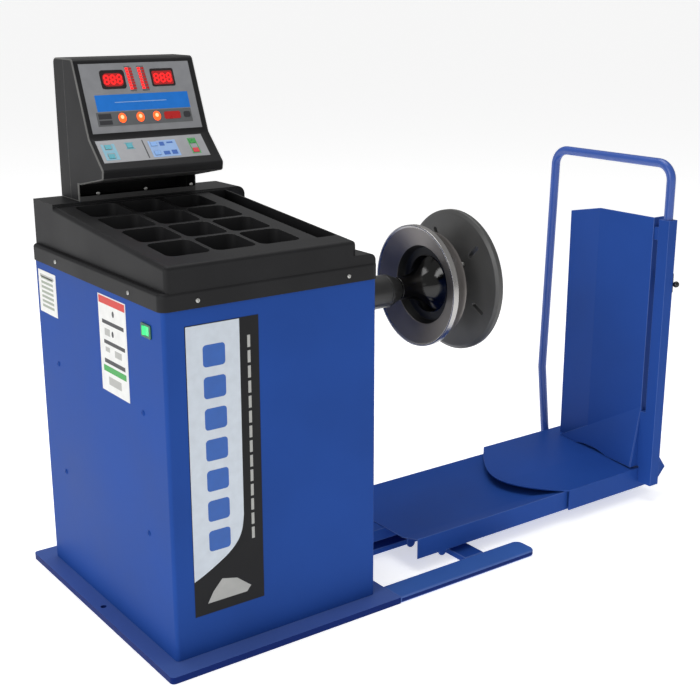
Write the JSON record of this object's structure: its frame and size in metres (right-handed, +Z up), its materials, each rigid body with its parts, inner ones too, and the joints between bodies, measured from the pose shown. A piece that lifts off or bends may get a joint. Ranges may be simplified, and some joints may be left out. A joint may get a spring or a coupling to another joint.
{
  "type": "wheel balancer",
  "caption": "Floor standing wheel balancer with a display head, weight tray, clamping spindle and a side lift that raises a truck wheel on a sliding carriage",
  "frame": {"origin": "centre of the base plate's underside, on the floor", "axes": "+X out along the spindle toward the lift, +Y to the back, +Z up"},
  "size_m": [1.905, 0.856, 1.43],
  "materials": {
    "blue_paint": "satin powder coat",
    "black_plastic": "fine grained moulding",
    "trim_film": "printed film",
    "label_film": "printed film",
    "switch_black": "moulded",
    "rocker_green": "translucent, lit",
    "screw_steel": "zinc plated",
    "display_film": "printed film with lit windows",
    "keypad_film": "printed film",
    "board_green": "circuit board",
    "black_iron": "black painted casting",
    "bearing_steel": "ground",
    "flange_steel": "turned and polished",
    "clamp_black": "black anodised",
    "nut_black": "black anodised",
    "arm_steel": "black oxide",
    "sensor_steel": "machined",
    "pulley_alloy": "machined",
    "motor_iron": "painted",
    "belt_rubber": "ribbed",
    "brass_fitting": "turned",
    "roller_nylon": "moulded",
    "valve_grey": "moulded",
    "lever_black": "moulded ball on a rod",
    "key_green": "moulded",
    "key_red": "moulded",
    "key_cyan": "moulded",
    "key_blue": "moulded"
  },
  "bodies": {
    "machine": {"base_plate": "blue_paint", "outrigger_bar": "blue_paint", "lift_base": "blue_paint", "cabinet_shell": "blue_paint", "rear_panel": "blue_paint", "panel_screws": "blue_paint", "front_trim": "trim_film", "side_plates": "label_film", "switch_bezel": "switch_black", "top_cover": "black_plastic", "weight_tray": "black_plastic", "cover_screws": "screw_steel", "head_shell": "black_plastic", "head_back": "black_plastic", "display_panel": "display_film", "keypad_plate": "keypad_film", "display_board": "board_green", "spindle_housing": "black_iron", "spindle_nose": "black_iron", "spindle_bearings": "bearing_steel", "inner_frame": "blue_paint", "force_sensors": "sensor_steel", "motor": "motor_iron", "drive_belt": "belt_rubber", "power_board": "board_green", "power_inlet": "switch_black", "air_inlet": "brass_fitting", "lift_mast": "blue_paint", "guide_rods": "bearing_steel", "cylinder_barrel": "pulley_alloy"},
    "rocker": {"power_rocker": "rocker_green"},
    "spindle": {"spindle_shaft": "bearing_steel", "wheel_flange": "flange_steel", "driven_pulley": "pulley_alloy", "encoder_disc": "pulley_alloy"},
    "motor_drive": {"motor_pulley": "pulley_alloy"},
    "clamp": {"pressure_plate": "clamp_black", "plate_bolts": "screw_steel"},
    "nut": {"quick_nut": "nut_black", "nut_arms": "arm_steel"},
    "lift": {"lift_slider": "blue_paint", "lift_beam": "blue_paint", "lift_tray": "blue_paint", "piston_rod": "bearing_steel"},
    "carriage": {"carriage_deck": "blue_paint", "carriage_axles": "bearing_steel", "back_plate": "blue_paint", "side_post": "blue_paint", "push_handle": "blue_paint", "valve_box": "valve_grey"},
    "front_roller_pair": {"front_rollers": "roller_nylon"},
    "rear_roller_pair": {"rear_rollers": "roller_nylon"},
    "lever": {"valve_lever": "lever_black"},
    "start_key_body": {"start_key": "key_green"},
    "stop_key_body": {"stop_key": "key_red"},
    "unit_key_body": {"unit_key": "key_cyan"},
    "width_key_body": {"width_key": "key_cyan"},
    "offset_key_body": {"offset_key": "key_cyan"},
    "mode_key_body": {"mode_key": "key_blue"},
    "recall_key_body": {"recall_key": "key_blue"}
  },
  "joints": [
    {"name": "spindle_spin", "type": "hinge", "parent": "machine", "child": "spindle", "pos_m": [0.1, -0.11, 0.785], "axis": [1, 0, 0], "continuous": true},
    {"name": "motor_spin", "type": "hinge", "parent": "machine", "child": "motor_drive", "pos_m": [-0.16, -0.11, 0.48], "axis": [1, 0, 0], "continuous": true},
    {"name": "clamp_slide", "type": "slide", "parent": "spindle", "child": "clamp", "axis": [1, 0, 0], "range_m": [-0.05, 0.12]},
    {"name": "nut_turn", "type": "hinge", "parent": "clamp", "child": "nut", "pos_m": [0.85, -0.11, 0.785], "axis": [1, 0, 0], "continuous": true},
    {"name": "lift_slide", "type": "slide", "parent": "machine", "child": "lift", "axis": [0, 0, 1], "range_m": [0, 0.3]},
    {"name": "carriage_slide", "type": "slide", "parent": "lift", "child": "carriage", "axis": [-1, 0, 0], "range_m": [0, 0.35]},
    {"name": "front_roller_spin", "type": "hinge", "parent": "carriage", "child": "front_roller_pair", "pos_m": [1.18, -0.1, 0.092], "axis": [0, 1, 0], "continuous": true},
    {"name": "rear_roller_spin", "type": "hinge", "parent": "carriage", "child": "rear_roller_pair", "pos_m": [1.42, -0.1, 0.092], "axis": [0, 1, 0], "continuous": true},
    {"name": "lever_tilt", "type": "hinge", "parent": "carriage", "child": "lever", "pos_m": [1.473, -0.34, 0.724], "axis": [1, 0, 0], "range_deg": [-15, 15], "stiffness_Nm_per_rad": 0.4},
    {"name": "rocker_tilt", "type": "hinge", "parent": "machine", "child": "rocker", "pos_m": [-0.2995, -0.289, 0.842], "axis": [0, 0, 1], "range_deg": [-16, 0]},
    {"name": "start_key_press", "type": "slide", "parent": "machine", "child": "start_key_body", "axis": [0, 0.7023, -0.7118], "range_m": [0, 0.001], "stiffness_N_per_m": 600},
    {"name": "stop_key_press", "type": "slide", "parent": "machine", "child": "stop_key_body", "axis": [0, 0.7023, -0.7118], "range_m": [0, 0.001], "stiffness_N_per_m": 600},
    {"name": "unit_key_press", "type": "slide", "parent": "machine", "child": "unit_key_body", "axis": [0, 0.7023, -0.7118], "range_m": [0, 0.001], "stiffness_N_per_m": 600},
    {"name": "width_key_press", "type": "slide", "parent": "machine", "child": "width_key_body", "axis": [0, 0.7023, -0.7118], "range_m": [0, 0.001], "stiffness_N_per_m": 600},
    {"name": "offset_key_press", "type": "slide", "parent": "machine", "child": "offset_key_body", "axis": [0, 0.7023, -0.7118], "range_m": [0, 0.001], "stiffness_N_per_m": 600},
    {"name": "mode_key_press", "type": "slide", "parent": "machine", "child": "mode_key_body", "axis": [0, 0.7023, -0.7118], "range_m": [0, 0.001], "stiffness_N_per_m": 600},
    {"name": "recall_key_press", "type": "slide", "parent": "machine", "child": "recall_key_body", "axis": [0, 0.7023, -0.7118], "range_m": [0, 0.001], "stiffness_N_per_m": 600}
  ],
  "couplings": [
    {"joint": "motor_spin", "follows": "spindle_spin", "ratio": 2.4},
    {"joint": "front_roller_spin", "follows": "carriage_slide", "rad_per_m": -103.09},
    {"joint": "rear_roller_spin", "follows": "carriage_slide", "rad_per_m": -103.09}
  ]
}
